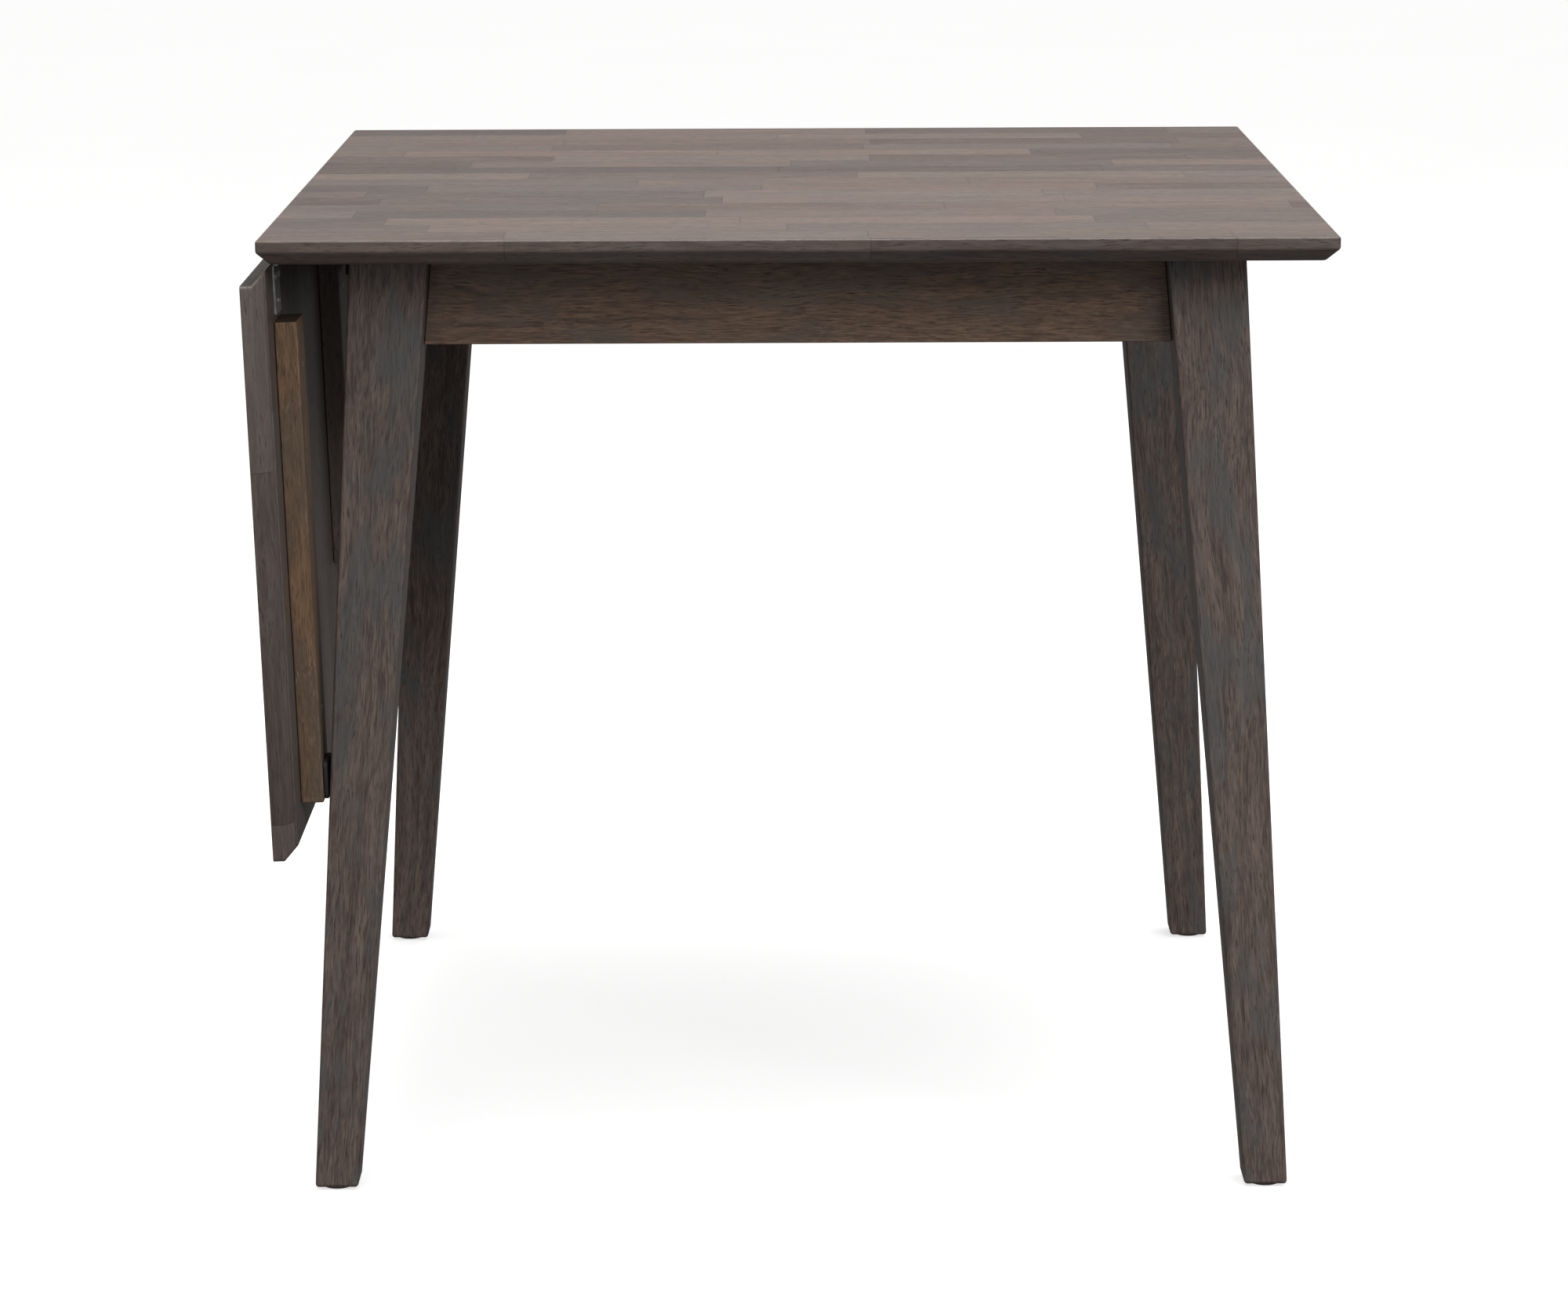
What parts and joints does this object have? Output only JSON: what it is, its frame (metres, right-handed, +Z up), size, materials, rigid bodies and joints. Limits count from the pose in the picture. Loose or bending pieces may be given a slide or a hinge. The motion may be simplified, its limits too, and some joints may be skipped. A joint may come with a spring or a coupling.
{
  "type": "drop-leaf table",
  "caption": "Square drop-leaf dining table: tapered splayed legs, aprons, one hinged side leaf with battens and buffers, pull-out support bar under the top.",
  "frame": {"origin": "on the floor, at the middle of the outline of the whole table with its leaf hanging; the middle of the top is 6.1 mm to the +X side of it", "axes": "+Z up; +X across the table, away from the hanging leaf, which is on the -X side; -Y is the front, +Y the rear, along the hinge line"},
  "size_m": [0.8122, 0.8, 0.744],
  "materials": {
    "stained_oak": "dark grey-brown stained oak, satin lacquer, fine open grain",
    "frame_wood": "hidden frame timber, brown stain, matt",
    "batten_wood": "yellow-brown hardwood with short flecks, thin clear finish",
    "hinge_steel": "zinc-plated pressed steel, satin",
    "bolt_steel": "zinc-plated steel, dull",
    "buffer_rubber": "black rubber, matt",
    "foot_felt": "brown wool felt"
  },
  "bodies": {
    "frame": {"table_top": "stained_oak", "leg_front_left": "stained_oak", "leg_front_right": "stained_oak", "leg_rear_left": "stained_oak", "leg_rear_right": "stained_oak", "apron_front": "stained_oak", "apron_rear": "stained_oak", "apron_left": "stained_oak", "apron_right": "stained_oak", "corner_block_front_left": "frame_wood", "corner_block_front_right": "frame_wood", "corner_block_rear_left": "frame_wood", "corner_block_rear_right": "frame_wood", "leg_bolt_front_left": "bolt_steel", "leg_bolt_front_right": "bolt_steel", "leg_bolt_rear_left": "bolt_steel", "leg_bolt_rear_right": "bolt_steel", "top_screw_front_left": "bolt_steel", "top_screw_front_right": "bolt_steel", "top_screw_rear_left": "bolt_steel", "top_screw_rear_right": "bolt_steel", "foot_pad_front_left": "foot_felt", "foot_pad_front_right": "foot_felt", "foot_pad_rear_left": "foot_felt", "foot_pad_rear_right": "foot_felt", "support_bar": "frame_wood", "bar_guide_front": "frame_wood", "bar_guide_rear": "frame_wood", "bar_keeper": "frame_wood", "bar_stop_peg": "batten_wood", "hinge_front_top_plate": "hinge_steel", "hinge_front_pin": "hinge_steel", "hinge_front_top_screw_1": "hinge_steel", "hinge_front_top_screw_2": "hinge_steel", "hinge_front_top_screw_3": "hinge_steel", "hinge_rear_top_plate": "hinge_steel", "hinge_rear_pin": "hinge_steel", "hinge_rear_top_screw_1": "hinge_steel", "hinge_rear_top_screw_2": "hinge_steel", "hinge_rear_top_screw_3": "hinge_steel"},
    "leaf": {"drop_leaf": "stained_oak", "leaf_batten_front": "batten_wood", "leaf_batten_front_screw_1": "hinge_steel", "leaf_batten_front_screw_2": "hinge_steel", "leaf_batten_centre": "stained_oak", "leaf_batten_centre_screw_1": "hinge_steel", "leaf_batten_centre_screw_2": "hinge_steel", "leaf_batten_rear": "batten_wood", "leaf_batten_rear_screw_1": "hinge_steel", "leaf_batten_rear_screw_2": "hinge_steel", "leaf_buffer_front": "buffer_rubber", "leaf_buffer_rear": "buffer_rubber", "hinge_front_leaf_plate": "hinge_steel", "hinge_front_leaf_screw_1": "hinge_steel", "hinge_front_leaf_screw_2": "hinge_steel", "hinge_front_leaf_screw_3": "hinge_steel", "hinge_rear_leaf_plate": "hinge_steel", "hinge_rear_leaf_screw_1": "hinge_steel", "hinge_rear_leaf_screw_2": "hinge_steel", "hinge_rear_leaf_screw_3": "hinge_steel"}
  },
  "joints": [
    {"name": "leaf_hinge", "type": "hinge", "parent": "frame", "child": "leaf", "pos_m": [-0.38466, 0, 0.7222], "axis": [0, 1, 0], "range_deg": [0, 91.69]}
  ]
}
